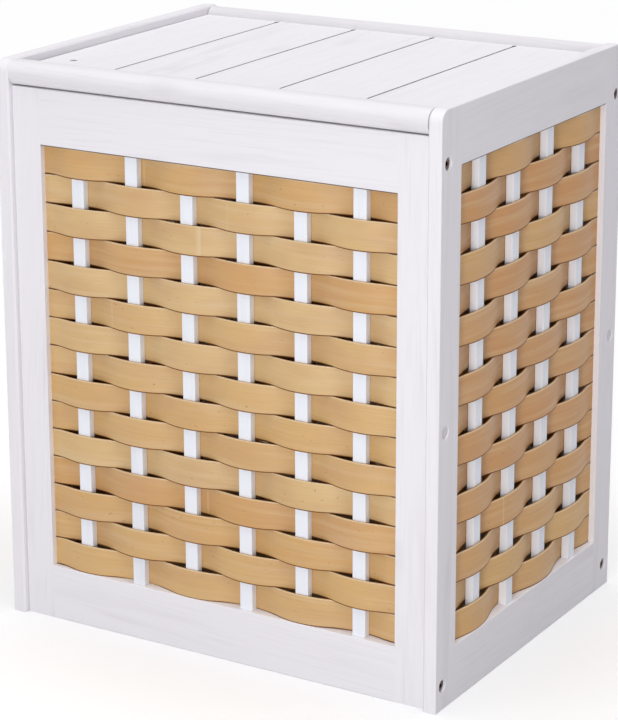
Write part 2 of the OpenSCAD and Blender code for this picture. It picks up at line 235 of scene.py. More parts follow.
def prism(outline, low, high, place):
    """A bmesh of an outline run from low to high, with place(u, v, run) giving each point. It returns the
    bmesh and, for each side of the outline, its edge at low and its edge at high."""
    bm = bmesh.new()
    near = [bm.verts.new(place(u, v, low)) for u, v in outline]
    far = [bm.verts.new(place(u, v, high)) for u, v in outline]
    bm.faces.new(near)
    bm.faces.new(far[::-1])
    count = len(outline)
    rims = []
    for i in range(count):
        k = (i + 1) % count
        bm.faces.new((near[i], far[i], far[k], near[k]))
        rims.append((bm.edges.get((near[i], near[k])), bm.edges.get((far[i], far[k]))))
    bmesh.ops.recalc_face_normals(bm, faces=bm.faces)
    return bm, rims


def ease(bm, edges, radius, steps=EDGE_STEPS):
    """Rounds the edges given, or bevels them flat in one step."""
    bmesh.ops.bevel(bm, geom=[e for e in edges if e.is_valid], offset=radius, offset_type="OFFSET",
                    segments=steps, profile=0.5, affect="EDGES", clamp_overlap=True)


def lathe(profile, place, steps=ROUND_STEPS):
    """A bmesh of a profile of (radius, height) points turned about the height, closed at both ends."""
    bm = bmesh.new()
    rings = []
    for radius, height in profile:
        turns = [2 * math.pi * i / steps for i in range(steps)]
        ring = [bm.verts.new(place(radius * math.cos(t), radius * math.sin(t), height)) for t in turns]
        rings.append(ring)
    for low, high in zip(rings, rings[1:]):
        for i in range(steps):
            k = (i + 1) % steps
            bm.faces.new((low[i], low[k], high[k], high[i]))
    bm.faces.new(rings[0])
    bm.faces.new(rings[-1])
    bmesh.ops.recalc_face_normals(bm, faces=bm.faces)
    return bm


def block(low, high):
    """A plain box, as a cutter or as the start of a board."""
    bm = bmesh.new()
    bmesh.ops.create_cube(bm, size=1.0)
    size = [b - a for a, b in zip(low, high)]
    middle = [(a + b) / 2 for a, b in zip(low, high)]
    bmesh.ops.scale(bm, vec=size, verts=bm.verts)
    bmesh.ops.translate(bm, vec=middle, verts=bm.verts)
    return bm


def block_between(a, b):
    """A plain box with two opposite corners given."""
    return block([min(p) for p in zip(a, b)], [max(p) for p in zip(a, b)])


def joined(parts):
    """One bmesh that holds all the parts."""
    whole = bmesh.new()
    for part in parts:
        held = bpy.data.meshes.new("held")
        part.to_mesh(held)
        part.free()
        whole.from_mesh(held)
        bpy.data.meshes.remove(held)
    return whole


def new_object(name, bm):
    mesh = bpy.data.meshes.new(name)
    bm.to_mesh(mesh)
    bm.free()
    piece = bpy.data.objects.new(name, mesh)
    bpy.context.scene.collection.objects.link(piece)
    return piece


def cut(piece, cutters):
    """Takes the cutters out of a piece."""
    tool = new_object("cutter", joined(cutters))
    step = piece.modifiers.new("cut", "BOOLEAN")
    step.object = tool
    step.operation = "DIFFERENCE"
    step.solver = "EXACT"
    graph = bpy.context.evaluated_depsgraph_get()
    mesh = bpy.data.meshes.new_from_object(piece.evaluated_get(graph))
    piece.modifiers.clear()
    old = piece.data
    piece.data = mesh
    bpy.data.meshes.remove(old)
    spent = tool.data
    bpy.data.objects.remove(tool)
    bpy.data.meshes.remove(spent)


def smooth(piece, angle=BOARD_ANGLE):
    """Smooth shading that keeps corners sharper than the angle."""
    piece.data.shade_smooth()
    piece.data.set_sharp_from_angle(angle=math.radians(angle))
    level = piece.modifiers.new("level", "WEIGHTED_NORMAL")
    level.keep_sharp = True


# Surface coordinates

def write_vectors(mesh, name, values):
    layer = mesh.attributes.new(name, "FLOAT_VECTOR", "POINT")
    layer.data.foreach_set("vector", [c for v in values for c in v])


def write_floats(mesh, name, values):
    layer = mesh.attributes.new(name, "FLOAT", "POINT")
    layer.data.foreach_set("value", values)


def grain_along(piece, along, seed, tone=1.0):
    """Gives a board its grain: along is the direction of the fibres, and seed sets it apart from the others.
    The paint's brightness is multiplied by the tone, give or take a little."""
    draw = random.Random(seed)
    away = [draw.uniform(-GRAIN_AWAY, GRAIN_AWAY) for _ in range(3)]
    first = Vector(along)
    axes = [first]
    for across in (first.yzx, first.zxy):
        axes.append(across + first * draw.uniform(-GRAIN_TILT, GRAIN_TILT))
    points = [v.co for v in piece.data.vertices]
    write_vectors(piece.data, "grain", [[p.dot(a) + o for a, o in zip(axes, away)] for p in points])
    write_floats(piece.data, "tone", [tone * draw.uniform(LEAST_TONE, 1)] * len(points))


def dress(piece, node, material):
    """Sets a piece's material, and lets it stand for a CAD node and move with that node's body."""
    piece.data.materials.clear()
    piece.data.materials.append(material)
    body = frame["nodes"][node]["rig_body"]
    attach(piece, body)
    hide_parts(node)


def finish_board(piece, node, along, material, tone=1.0):
    """Gives a board its grain along the direction given, its shading and its material."""
    grain_along(piece, along, node, tone)
    smooth(piece)
    dress(piece, node, material)


# Materials

def tree_of(name):
    material = bpy.data.materials.new(name)
    material.use_nodes = True
    return material, material.node_tree


def add(tree, kind, inputs=None, **settings):
    """Adds a node, sets its properties, and sets or links its inputs by name or number."""
    made = tree.nodes.new(kind)
    for key, value in settings.items():
        setattr(made, key, value)
    for key, value in (inputs or {}).items():
        if isinstance(value, bpy.types.NodeSocket):
            tree.links.new(value, made.inputs[key])
        else:
            made.inputs[key].default_value = value
    return made


def attribute(tree, name, output):
    return add(tree, "ShaderNodeAttribute", attribute_name=name).outputs[output]


def stretched_noise(tree, vector, scale, detail=3.0, roughness=0.55, distortion=0.0):
    """Noise on coordinates scaled unevenly, so that it runs along the fibres."""
    mapped = add(tree, "ShaderNodeMapping", {"Vector": vector, "Scale": scale}).outputs[0]
    made = add(tree, "ShaderNodeTexNoise", {"Vector": mapped, "Scale": 1.0, "Detail": detail,
                                            "Roughness": roughness, "Distortion": distortion})
    return made.outputs[0]


def ranged(tree, value, low, high, to_low, to_high):
    """A value carried from one range to another and kept inside it."""
    inputs = {"Value": value, 1: low, 2: high, 3: to_low, 4: to_high}
    return add(tree, "ShaderNodeMapRange", inputs).outputs[0]


def maths(tree, operation, first, second):
    return add(tree, "ShaderNodeMath", {0: first, 1: second}, operation=operation).outputs[0]


def mixed(tree, factor, first, second, blend="MIX"):
    made = add(tree, "ShaderNodeMix", data_type="RGBA", blend_type=blend)
    for key, value in ((0, factor), (6, first), (7, second)):
        if isinstance(value, bpy.types.NodeSocket):
            tree.links.new(value, made.inputs[key])
        elif key == 0:
            made.inputs[key].default_value = value
        else:
            made.inputs[key].default_value = (*value, 1.0)
    return made.outputs[2]


def painted_wood(name, base, shade, rough_low, rough_high, grain_depth):
    """Brushed paint on timber: faint streaks along the fibres, a few knots, and fine grain in relief. Painted
    shade darkens the narrow slots, marked by one attribute, and the underside of the top rails, marked by the
    attribute under."""
    material, tree = tree_of(name)
    surface = tree.nodes["Principled BSDF"]
    grain = attribute(tree, "grain", "Vector")
    fine = stretched_noise(tree, grain, (9, 420, 420), 4.0, 0.6)
    broad = stretched_noise(tree, grain, (3.2, 52, 52), 3.0, 0.55, 1.2)
    patchy = stretched_noise(tree, grain, (5, 11, 11), 2.0)
    knots = add(tree, "ShaderNodeTexVoronoi", {
        "Vector": add(tree, "ShaderNodeMapping", {"Vector": grain, "Scale": (5.5, 14, 14)}).outputs[0],
        "Scale": 1.0})
    knot = ranged(tree, knots.outputs["Distance"], 0.05, 0.16, 1.0, 0.0)
    streaks = maths(tree, "MULTIPLY", ranged(tree, broad, 0.50, 0.72, 0.0, 0.9),
                    ranged(tree, patchy, 0.42, 0.66, 0.12, 1.0))
    lines = ranged(tree, fine, 0.50, 0.75, 0.0, 0.50)
    marks = maths(tree, "MAXIMUM", streaks, lines)
    dark = maths(tree, "MAXIMUM", marks, maths(tree, "MULTIPLY", knot, 0.5))
    colour = mixed(tree, dark, base, shade)
    colour = mixed(tree, 1.0, colour, attribute(tree, "tone", "Fac"), "MULTIPLY")
    # Painted shade: grey in the narrow slots, dark under the top rails
    colour = mixed(tree, attribute(tree, "bare", "Fac"), colour, SLOT_SHADE)
    # Painted shade under the top rails
    colour = mixed(tree, attribute(tree, "under", "Fac"), colour, RAIL_UNDERSIDE_SHADE)
    tree.links.new(colour, surface.inputs["Base Color"])
    tree.links.new(ranged(tree, fine, 0.3, 0.7, rough_low, rough_high), surface.inputs["Roughness"])
    surface.inputs["Specular IOR Level"].default_value = PAINT_SHINE
    relief = maths(tree, "SUBTRACT", maths(tree, "MULTIPLY", broad, -0.5),
                   maths(tree, "MULTIPLY", fine, 0.5))
    bump = add(tree, "ShaderNodeBump", {"Strength": 0.35, "Distance": grain_depth, "Height": relief})
    tree.links.new(bump.outputs[0], surface.inputs["Normal"])
    return material


def bamboo(name):
    """Split bamboo: a tone for each strip, fine fibres along it, and light lines at its joints. A painted
    highlight lightens its upper edge and painted shade darkens its lower edge. Its inner face, where the
    attribute inner is 1, is painted a dark colour as shade."""
    material, tree = tree_of(name)
    surface = tree.nodes["Principled BSDF"]
    grain = attribute(tree, "grain", "Vector")
    tone = attribute(tree, "tone", "Fac")
    joint = attribute(tree, "joint", "Fac")
    edge = attribute(tree, "edge", "Fac")
    straw = (0.665, 0.450, 0.205)
    honey = (0.625, 0.370, 0.130)
    amber = (0.550, 0.262, 0.080)
    blush = (0.540, 0.295, 0.130)
    pale_and_edge_highlight = (0.710, 0.540, 0.325)
    brown_and_edge_shade = (0.165, 0.056, 0.012)
    inside = (0.430, 0.220, 0.085)
    fibre = stretched_noise(tree, grain, (14, 1500, 1), 3.0, 0.6)
    band = stretched_noise(tree, grain, (7, 130, 1), 2.0, 0.5, 0.6)
    cloud = stretched_noise(tree, grain, (16, 30, 1), 2.0)
    speck = stretched_noise(tree, grain, (260, 330, 1), 1.0)
    light = mixed(tree, ranged(tree, tone, 0.0, 0.55, 0.0, 1.0), straw, honey)
    colour = mixed(tree, ranged(tree, tone, 0.55, 1.0, 0.0, 1.0), light, amber)
    colour = mixed(tree, ranged(tree, cloud, 0.42, 0.68, 0.0, 0.50), colour, blush)
    colour = mixed(tree, ranged(tree, band, 0.46, 0.72, 0.0, 0.28), colour, pale_and_edge_highlight)
    colour = mixed(tree, ranged(tree, fibre, 0.50, 0.80, 0.0, 0.16), colour, brown_and_edge_shade)
    colour = mixed(tree, ranged(tree, speck, 0.72, 0.80, 0.0, 0.35), colour, brown_and_edge_shade)
    colour = mixed(tree, ranged(tree, joint, 0.4 * MM, 1.3 * MM, 0.55, 0.0), colour, pale_and_edge_highlight)
    # Painted highlight along each strip's upper edge and painted shade along its lower edge
    colour = mixed(tree, ranged(tree, edge, 0.2, 0.7, 0.0, 0.80), colour, pale_and_edge_highlight)
    colour = mixed(tree, ranged(tree, edge, -0.2, -0.6, 0.0, 1.0), colour, brown_and_edge_shade)
    # Painted shade: the inner face of each strip is dark
    colour = mixed(tree, attribute(tree, "inner", "Fac"), colour, inside)
    tree.links.new(colour, surface.inputs["Base Color"])
    tree.links.new(ranged(tree, fibre, 0.3, 0.7, 0.44, 0.54), surface.inputs["Roughness"])
    tree.links.new(ranged(tree, edge, -0.6, -0.2, 0.12, 0.8), surface.inputs["Specular IOR Level"])
    relief = maths(tree, "ADD", maths(tree, "MULTIPLY", fibre, 0.6),
                   maths(tree, "MULTIPLY", band, 0.4))
    bump = add(tree, "ShaderNodeBump", {"Strength": 0.3, "Distance": 0.25 * MM, "Height": relief})
    tree.links.new(bump.outputs[0], surface.inputs["Normal"])
    return material


def plated_steel(name, base, worn, rough_low, rough_high):
    """Plated steel with uneven plating and fine turning marks."""
    material, tree = tree_of(name)
    surface = tree.nodes["Principled BSDF"]
    place = add(tree, "ShaderNodeTexCoord").outputs["Object"]
    patch = add(tree, "ShaderNodeTexNoise", {"Vector": place, "Scale": 700.0, "Detail": 3.0}).outputs[0]
    fine = add(tree, "ShaderNodeTexNoise", {"Vector": place, "Scale": 3500.0, "Detail": 2.0}).outputs[0]
    colour = mixed(tree, ranged(tree, patch, 0.4, 0.7, 0.0, 1.0), base, worn)
    tree.links.new(colour, surface.inputs["Base Color"])
    tree.links.new(ranged(tree, fine, 0.3, 0.7, rough_low, rough_high), surface.inputs["Roughness"])
    surface.inputs["Metallic"].default_value = 1.0
    bump = add(tree, "ShaderNodeBump", {"Strength": 0.15, "Distance": 0.05 * MM, "Height": fine})
    tree.links.new(bump.outputs[0], surface.inputs["Normal"])
    return material


def moulded_plastic(name, base, shade):
    """White plastic with a fine moulded texture."""
    material, tree = tree_of(name)
    surface = tree.nodes["Principled BSDF"]
    place = add(tree, "ShaderNodeTexCoord").outputs["Object"]
    fine = add(tree, "ShaderNodeTexNoise", {"Vector": place, "Scale": 1800.0, "Detail": 2.0}).outputs[0]
    soft = add(tree, "ShaderNodeTexNoise", {"Vector": place, "Scale": 160.0, "Detail": 2.0}).outputs[0]
    colour = mixed(tree, ranged(tree, soft, 0.4, 0.7, 0.0, 1.0), base, shade)
    tree.links.new(colour, surface.inputs["Base Color"])
    tree.links.new(ranged(tree, fine, 0.3, 0.7, 0.42, 0.55), surface.inputs["Roughness"])
    bump = add(tree, "ShaderNodeBump", {"Strength": 0.2, "Distance": 0.05 * MM, "Height": fine})
    tree.links.new(bump.outputs[0], surface.inputs["Normal"])
    return material


WHITE_PAINT = painted_wood("white_paint_look", (0.870, 0.850, 0.885), (0.765, 0.740, 0.770),
                           0.72, 0.82, 0.5 * MM)
# The laths' paint is a bluer white than the frames', as painted light that cancels the warm light the strips
# throw on them
LATH_PAINT_COOLED_FOR_BOUNCE = painted_wood("painted_lath_look", (0.880, 0.900, 0.960), (0.800, 0.810, 0.860),
                          0.36, 0.48, 0.3 * MM)
PLAIN_BOARD = painted_wood("plain_board_look", (0.450, 0.285, 0.155), (0.360, 0.215, 0.110),
                           0.55, 0.68, 0.5 * MM)
BAMBOO = bamboo("bamboo_strip_look")
BRONZE = plated_steel("bronze_steel_look", (0.085, 0.054, 0.044), (0.210, 0.135, 0.105), 0.24, 0.38)
ZINC = plated_steel("zinc_steel_look", (0.600, 0.600, 0.620), (0.500, 0.500, 0.515), 0.30, 0.45)
CAP = moulded_plastic("white_cap_look", (0.700, 0.670, 0.700), (0.640, 0.610, 0.640))


# Panels

class Panel:
    """One side of the trunk, with the names of its stiles at low and high u and the sizes its nodes have.
    Its odd strips pass outside the first lath where over_first is 1, and inside it where that is -1."""

    def __init__(self, name, turn, low_stile, high_stile, over_first, top_r):
        self.name = name
        self.snug = SNUG[name]
        self.turn = Matrix.Rotation(math.radians(turn), 3, "Z")
        self.low_stile = low_stile
        self.high_stile = high_stile
        self.over_first = over_first
        self.top_r = top_r
        low, high = self.local_box(low_stile)
        self.reach = -low.y
        self.thick = high.y - low.y
        self.half = -low.x
        self.stile_w = high.x - low.x
        self.height = high.z
        self.rail_w = self.local_box(name + "_bottom_rail")[1].z
        self.window = self.half - self.stile_w

    def local_box(self, node):
        """A node's box turned into the panel's axes, but measured from the trunk's middle."""
        back = self.turn.inverted()
        ends = [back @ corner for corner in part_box(node)]
        low = Vector([min(a, b) for a, b in zip(*ends)])
        high = Vector([max(a, b) for a, b in zip(*ends)])
        return low, high

    def place(self, u, z, d):
        return self.turn @ Vector((u, d - self.reach, z))

    def along(self):
        return self.turn @ Vector((1, 0, 0))

    def node(self, what):
        return self.name + "_" + what

    def lath_places(self):
        """The middle of each lath along u, and the laths' width and thickness."""
        back = self.turn.inverted()
        points = [back @ v.co for v in frame["nodes"][self.node("laths")].data.vertices]
        runs = []
        for u in sorted(p.x for p in points):
            if not runs or u - runs[-1][1] > self.thick:
                runs.append([u, u])
            runs[-1][1] = u
        depth = [p.y for p in points]
        return [(a + b) / 2 for a, b in runs], runs[0][1] - runs[0][0], max(depth) - min(depth)

    def strip_heights(self, node):
        """The lower and upper edge of each strip in a node, from the top down."""
        levels = sorted({round(v.co.z, 5) for v in frame["nodes"][node].data.vertices}, reverse=True)
        return list(zip(levels[1::2], levels[0::2]))


def stile(panel, node, side, cutters):
    """An upright board at low u (side -1) or high u (side 1), eased all round but flush where rails meet
    it. The sides of its outline run from the foot up along the rails and the window, then over the top."""
    window_side = 3
    first_top_side = 6
    inner = panel.stile_w
    top, rail = panel.height, panel.rail_w
    r = panel.top_r
    corner = arc((r, top - r), r, 90, 180) if r else [(0, top)]
    outline = [(0, 0), (inner, 0), (inner, rail - JOIN), (inner, rail), (inner, top - rail),
               (inner, top - rail + JOIN), (inner, top)] + corner

    def place(u, v, run):
        return panel.place(side * (panel.half - u), v, run)

    bm, rims = prism(outline, 0.0, panel.thick, place)
    top_sides = range(first_top_side, len(outline) - 1)
    soft = [rims[i][1] for i in top_sides]
    outer = [rims[i][0] for i in top_sides] + list(rims[0])
    free, held = rims[-1] if r else rims[-1][::-1]
    ease(bm, soft + [held], INNER_EDGE, 1)
    ease(bm, outer + [free], OUTER_EDGE)
    ease(bm, rims[window_side], WINDOW_EDGE)
    piece = new_object(node + "_board", bm)
    cut(piece, cutters + [strip_groove(panel, side)])
    return piece


def strip_groove(panel, side):
    """The groove in a stile that holds the ends of the strips."""
    half = STRIP_T / 2 + FIT
    middle = panel.thick / 2
    ends = [side * (panel.window - PAST), side * (panel.window + STRIP_SEAT + FIT)]
    a = panel.place(min(ends), panel.rail_w + FIT, middle - half)
    b = panel.place(max(ends), panel.height - panel.rail_w - FIT, middle + half)
    return block_between(a, b)


def rail(panel, node, low, outer_low):
    """A level board between the stiles. Its outer edge is the lower one where outer_low is true, and
    otherwise its underside is painted dark as shade."""
    wide = panel.window
    outline = [(-wide, low), (wide, low), (wide, low + panel.rail_w), (-wide, low + panel.rail_w)]
    bm, rims = prism(outline, 0.0, panel.thick, panel.place)
    if outer_low:
        ease(bm, rims[0], OUTER_EDGE)
        ease(bm, rims[2], WINDOW_EDGE)
    else:
        ease(bm, rims[2][1:], INNER_EDGE, 1)
        ease(bm, rims[2][:1], OUTER_EDGE)
        ease(bm, rims[0], UNDER_RAIL_EDGE)
    piece = new_object(node + "_board", bm)
    cut(piece, lath_mortises(panel, low, outer_low))
    if not outer_low:
        # Painted shade on the underside and the lower part of the rounding
        limit = low + UNDER_RAIL_SHADE_SHARE * UNDER_RAIL_EDGE
        under = [1.0 if v.co.z < limit else 0.0 for v in piece.data.vertices]
        write_floats(piece.data, "under", under)
    return piece


def lath_mortises(panel, low, outer_low):
    """The pockets in a rail that hold the ends of the laths."""
    places, wide, thick = panel.lath_places()
    seat = low + panel.rail_w - LATH_SEAT - FIT if outer_low else low - PAST
    tall = LATH_SEAT + FIT + PAST
    middle = panel.thick / 2
    cutters = []
    for u in places:
        a = panel.place(u - wide / 2 - FIT, seat, middle - thick / 2 - FIT)
        b = panel.place(u + wide / 2 + FIT, seat + tall, middle + thick / 2 + FIT)
        cutters.append(block_between(a, b))
    return cutters


def laths(panel, node):
    """The upright laths of a panel, each with four rounded edges."""
    places, wide, thick = panel.lath_places()
    low, high = panel.local_box(node)
    middle = panel.thick / 2
    parts = []
    for u in places:
        outline = [(u - wide / 2, middle - thick / 2), (u + wide / 2, middle - thick / 2),
                   (u + wide / 2, middle + thick / 2), (u - wide / 2, middle + thick / 2)]
        bm, rims = prism(outline, low.z, high.z, lambda a, b, run: panel.place(a, run, b))
        rim_edges = {e for pair in rims for e in pair}
        ease(bm, [e for e in bm.edges if e not in rim_edges], LATH_EDGE, 2)
        parts.append(bm)
    return new_object(node + "_rods", joined(parts))


# Woven strips

def bend(turn):
    """A wave from 1 at 0 to -1 at pi, a little flatter at its crests than a cosine."""
    return (math.cos(turn) - WAVE_FLAT * math.cos(3 * turn)) / (1 - WAVE_FLAT)


def wave(u, laths_at, window, swing):
    """How far inwards a strip's middle lies at u. It swings outwards at the first lath and inwards at the
    next."""
    last = laths_at[-1]
    pitch = laths_at[1] - laths_at[0]
    beyond = abs(u) - last
    if beyond >= window - last:
        return 0.0
    if beyond <= 0:
        return -swing * bend(math.pi * (u + last) / pitch)
    end_side = 1 if u < 0 or len(laths_at) % 2 else -1
    return -end_side * swing * (1 + bend(math.pi * beyond / (window - last))) / 2


def strip_stations(laths_at, window):
    """Places along u at which a strip's section is drawn."""
    last = laths_at[-1]
    spans = (len(laths_at) - 1) * WAVE_STEPS
    ease_in = [-window + (window - last) * i / EASE_STEPS for i in range(EASE_STEPS)]
    middle = [-last + 2 * last * i / spans for i in range(spans + 1)]
    return [-window - STRIP_SEAT] + ease_in + middle + [-u for u in ease_in[::-1]] + [window + STRIP_SEAT]


def strip_section(height):
    """Points (across, depth) round a strip's section, its edges rounded and its outer face slightly
    crowned."""
    r = STRIP_EDGE
    wide = height / 2 - r
    thick = STRIP_T / 2 - r
    flat = wide - STRIP_LINE
    outer = [(k, -STRIP_T / 2) for k in (flat, flat / 2, 0, -flat / 2, -flat)]
    points = arc((wide, -thick), r, 0, -90, 3) + outer + arc((-wide, -thick), r, -90, -180, 3)
    points += arc((-wide, thick), r, 180, 90, 3) + [(0, STRIP_T / 2)] + arc((wide, thick), r, 90, 0, 3)
    crowned = []
    for across, depth in points:
        rise = STRIP_CROWN * (1 - (2 * across / height) ** 2)
        crowned.append((across, depth - rise if depth < 0 else depth))
    return crowned


def strip_tone(panel, row, draw):
    """How warm a strip is, from 0 to 1. Where the panel isn't in view, it is drawn by lot."""
    if panel.name not in PANEL_TONE:
        return draw.uniform(0, 1)
    tone = PANEL_TONE[panel.name] + draw.uniform(-TONE_SPREAD, TONE_SPREAD)
    if row in WARM_ROWS[panel.name]:
        tone += ROW_CHANGE
    if row in PALE_ROWS[panel.name]:
        tone -= ROW_CHANGE
    return min(1.0, max(0.0, tone))


def strip(panel, laths_at, swing, sign, low, high, row):
    """One strip as rings of points with its surface coordinates."""
    draw = random.Random(f"{panel.name} {row}")
    tone = strip_tone(panel, row, draw)
    away = [draw.uniform(-reach, reach) for reach in STRIP_AWAY]
    joints = [draw.uniform(-panel.window, panel.window) for _ in range(draw.choice(JOINT_COUNTS))]
    sway = [draw.uniform(0, 2 * math.pi) for _ in DRIFT_WAVES]
    section = strip_section(high - low)
    rings = []
    for u in strip_stations(laths_at, panel.window):
        slope = 0.0
        drift = 0.0
        if abs(u) < panel.window:
            before = wave(u - SLOPE_STEP, laths_at, panel.window, swing)
            after = wave(u + SLOPE_STEP, laths_at, panel.window, swing)
            slope = sign * (after - before) / (2 * SLOPE_STEP)
            waves = [share * math.sin(turns * u + s) for (turns, share), s in zip(DRIFT_WAVES, sway)]
            drift = STRIP_DRIFT * sum(waves)
        lean = math.atan(slope)
        swung = wave(u, laths_at, panel.window, swing)
        depth = panel.thick / 2 + sign * swung
        widen = 1 + 2 * panel.snug * (abs(swung) + SNUG_FROM) / (high - low)
        near = min([abs(u - j) for j in joints], default=1.0)
        ring = []
        for across, off in section:
            point = panel.place(u - off * math.sin(lean), (low + high) / 2 + across * widen + drift,
                                depth + off * math.cos(lean))
            # 1 at the upper edge, for the painted highlight, and -1 at the lower edge, for the painted shade
            edge = math.copysign(max(0.0, 1 - ((high - low) / 2 - abs(across)) / STRIP_LINE), across)
            coords = (u + away[0], across + away[1], off * DEPTH_STRETCH + away[2])
            # The last value marks the inner face, which is painted dark as shade
            ring.append((point, coords, tone, near, edge, 1.0 if off > 0 else 0.0))
        rings.append(ring)
    return rings


def strips(panel, node, odd):
    """Every strip of a node as one mesh."""
    laths_at = panel.lath_places()[0]
    low, high = panel.local_box(node)
    swing = (high.y - low.y - STRIP_T) / 2
    sign = panel.over_first if odd else -panel.over_first
    bm = bmesh.new()
    data = []
    for place, (bottom, top) in enumerate(panel.strip_heights(node)):
        row = 2 * place + (0 if odd else 1)
        rings = strip(panel, laths_at, swing, sign, bottom, top, row)
        made = []
        for ring in rings:
            made.append([bm.verts.new(point[0]) for point in ring])
            data += [point[1:] for point in ring]
        for low_ring, high_ring in zip(made, made[1:]):
            for i in range(len(low_ring)):
                k = (i + 1) % len(low_ring)
                bm.faces.new((low_ring[i], low_ring[k], high_ring[k], high_ring[i]))
        bm.faces.new(made[0])
        bm.faces.new(made[-1])
    bmesh.ops.recalc_face_normals(bm, faces=bm.faces)
    piece = new_object(node + "_woven", bm)
    write_vectors(piece.data, "grain", [d[0] for d in data])
    write_floats(piece.data, "tone", [d[1] for d in data])
    write_floats(piece.data, "joint", [d[2] for d in data])
    write_floats(piece.data, "edge", [d[3] for d in data])
    write_floats(piece.data, "inner", [d[4] for d in data])
    return piece


# Fasteners

def bolt_points(node):
    """The middles (y, z) of the bolts in a node: front and back, in the lower, middle and upper third."""
    spots = {}
    for v in frame["nodes"][node].data.vertices:
        spots.setdefault((v.co.y > 0, int(3 * v.co.z / cad_high[2])), []).append(v.co)
    points = []
    for group in spots.values():
        points.append(((min(p.y for p in group) + max(p.y for p in group)) / 2,
                       (min(p.z for p in group) + max(p.z for p in group)) / 2))
    return sorted(points)


def sideways(side, x, y, z):
    """Places a point turned about X: height runs outwards from x on the left (-1) or right (1) side."""
    return lambda a, b, height: Vector((side * (x + height), y + a, z + b))


def sunk_hole(side, face, y, z):
    """Cutter for a bolt's sunk hole, with an eased rim and a bore for the shank."""
    bore = SHANK_R + SHANK_ROOM
    profile = [(bore, -BORE_DEEP), (bore, -HOLE_DEEP), (HOLE_R, -HOLE_DEEP), (HOLE_R, -HOLE_RIM),
               (HOLE_R + HOLE_RIM, 0.0), (HOLE_R + HOLE_RIM, 2 * PAST)]
    return lathe(profile, sideways(side, face, y, z))


def nut_hole(side, x, y, z, inner):
    """Cutter for a cross nut's bore, open on the panel's inner face."""
    turned = 1 if y > 0 else -1

    def place(a, b, height):
        return Vector((side * x + a, y - turned * height, z + b))

    return lathe([(NUT_R + FIT / 2, -NUT_L / 2), (NUT_R + FIT / 2, inner)], place)


def pin_hole(side, node):
    """Cutter for the blind bore that a pivot pin turns in, open on the panel's inner face."""
    low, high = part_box(node)
    near, far = sorted((abs(low.x), abs(high.x)))
    radius = (high.z - low.z) / 2 + FIT
    place = sideways(side, near, (low.y + high.y) / 2, (low.z + high.z) / 2)
    return lathe([(radius, 0.0), (radius, far - near + FIT)], place)


def bolt(side, seat, y, z, length):
    """A bolt before its socket is cut: a plain shank and a round head with a soft rim."""
    profile = [(SHANK_R - TIP_IN, -length), (SHANK_R, -length + TIP_LONG), (SHANK_R, 0.0), (HEAD_R, 0.0)]
    profile += arc((HEAD_R - HEAD_ROUND, HEAD_H - HEAD_ROUND), HEAD_ROUND, 0, 90, HEAD_STEPS)
    profile += [(SOCKET_R + SOCKET_RIM, HEAD_H)]
    return lathe(profile, sideways(side, seat, y, z))


def socket(side, seat, y, z):
    """Cutter for the six-sided socket in a bolt's head."""
    profile = [(SOCKET_R, HEAD_H - SOCKET_DEEP), (SOCKET_R, HEAD_H + PAST)]
    return lathe(profile, sideways(side, seat, y, z), SOCKET_SIDES)


def cap(side, low, high, y, z, radius):
    """A pressed-in cap, thin so that it lies well down in its hole, with a rounded rim."""
    thick = CAP_SHARE * (high - low)
    profile = [(radius, 0.0), (radius, thick - CAP_ROUND)]
    profile += arc((radius - CAP_ROUND, thick - CAP_ROUND), CAP_ROUND, 0, 90, CAP_STEPS)
    profile += [(share * radius, thick) for share in CAP_RINGS]
    return lathe(profile, sideways(side, low, y, z))


# Lid

def lid_rail_piece(node, outline):
    """A bar along X with eased ends, from an outline in y and z."""
    low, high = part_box(node)
    ends = (low.x - END_SNUG, high.x + END_SNUG)
    bm, rims = prism(outline, *ends, lambda y, z, run: Vector((run, y, z)))
    ease(bm, [e for pair in rims for e in pair], BAR_END_EDGE, 2)
    return new_object(node + "_bar", bm)


def front_rail_outline():
    """The lid's front rail in y and z: a round nose in front and a softer round at the back of its top."""
    low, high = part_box("lid_front_rail")
    nose = (high.z - low.z) / 2
    r = RAIL_INNER_R
    outline = [(high.y, low.z)]
    outline += arc((high.y - r, high.z - r), r, 0, 90)
    outline += arc((low.y + nose, low.z + nose), nose, 90, 270, 2 * ARC_STEPS)
    return outline


def back_bar_outline():
    """The lid's back bar in y and z: round about the hinge, with the heel that stops the open lid."""
    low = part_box("lid_back_bar")[0]
    pivot = [j for j in frame["joints"] if j["name"] == "lid_hinge"][0]["pos_m"]
    middle = (pivot[1], pivot[2])
    radius = middle[1] - low.z
    plank_top = low.z + PLANK_T
    meets = math.degrees(math.asin((plank_top - middle[1]) / radius))
    outline = [(low.y, plank_top), (low.y, low.z)]
    outline += arc(middle, radius, -90, 0)
    outline += [(middle[0] + HEEL_CORNER[0], middle[1] + HEEL_CORNER[1])]
    outline += arc(middle, radius, 90, 180 - meets)
    return outline


